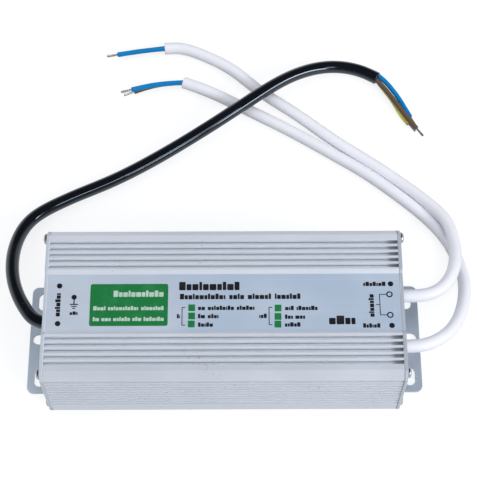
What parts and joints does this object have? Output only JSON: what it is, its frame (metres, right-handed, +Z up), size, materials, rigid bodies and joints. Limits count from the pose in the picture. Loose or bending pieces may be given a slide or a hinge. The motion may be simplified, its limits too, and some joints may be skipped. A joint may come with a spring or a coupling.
{
  "type": "LED driver",
  "caption": "Waterproof LED driver: finned aluminium tube closed by slotted end plates, with a black input cable and white output cables that end in stripped cores.",
  "frame": {"origin": "middle of the footprint of the case and its flanges, on the surface that it stands on", "axes": "+X along the case from the input end to the output end, +Y from front to back, +Z up"},
  "size_m": [0.214, 0.1934, 0.045],
  "materials": {
    "case_aluminium": "satin anodised extrusion",
    "plate_sheet": "satin sheet",
    "screw_steel": "nickel plated",
    "seal_rubber": "matt",
    "gasket_rubber": "matt",
    "black_sheath": "smooth glossy jacket",
    "white_sheath": "smooth satin jacket",
    "brown_insulation": "smooth",
    "blue_insulation": "smooth",
    "green_yellow_insulation": "smooth, two colours",
    "tinned_wire": "bright tinned",
    "board_laminate": "solder mask",
    "sheet_film": "insulating film",
    "potting": "cast, matt",
    "package_black": "moulded",
    "fuse_cap": "moulded",
    "disc_green": "dipped coating",
    "disc_blue": "dipped coating",
    "film_yellow": "moulded box",
    "can_sleeve": "shrink sleeve",
    "can_sleeve_green": "shrink sleeve",
    "ferrite": "sintered",
    "powder_core": "coated",
    "copper_wire": "enamelled copper",
    "winding_tape": "taped winding",
    "bobbin_plastic": "moulded",
    "bar_aluminium": "plain bar",
    "thermal_pad": "soft pad"
  },
  "bodies": {
    "root": {"case_extrusion": "case_aluminium", "input_end_plate": "plate_sheet", "output_end_plate": "plate_sheet", "input_gasket": "gasket_rubber", "output_gasket": "gasket_rubber", "end_plate_screws": "screw_steel", "input_grommet": "seal_rubber", "rear_output_grommet": "seal_rubber", "front_output_grommet": "seal_rubber", "input_cable": "black_sheath", "rear_output_cable": "white_sheath", "front_output_cable": "white_sheath", "input_live_core": "brown_insulation", "input_neutral_core": "blue_insulation", "input_earth_core": "green_yellow_insulation", "rear_positive_core": "brown_insulation", "rear_negative_core": "blue_insulation", "front_positive_core": "brown_insulation", "front_negative_core": "blue_insulation", "wire_ends": "tinned_wire", "circuit_board": "board_laminate", "insulating_sheet": "sheet_film", "input_leads": "brown_insulation", "output_leads": "blue_insulation", "fuse": "fuse_cap", "thermistor": "disc_green", "x_capacitor": "film_yellow", "choke_core": "ferrite", "choke_windings": "copper_wire", "bridge_rectifier": "package_black", "bulk_capacitors": "can_sleeve", "power_transistors": "package_black", "primary_heat_bar": "bar_aluminium", "primary_thermal_pad": "thermal_pad", "transformer_core": "ferrite", "transformer_bobbin": "bobbin_plastic", "transformer_winding": "winding_tape", "y_capacitor": "disc_blue", "controller_chip": "package_black", "optocoupler": "package_black", "output_rectifiers": "package_black", "secondary_heat_bar": "bar_aluminium", "secondary_thermal_pad": "thermal_pad", "package_screws": "screw_steel", "output_choke_core": "powder_core", "output_choke_winding": "copper_wire", "output_capacitors": "can_sleeve_green", "potting_compound": "potting"}
  },
  "joints": []
}
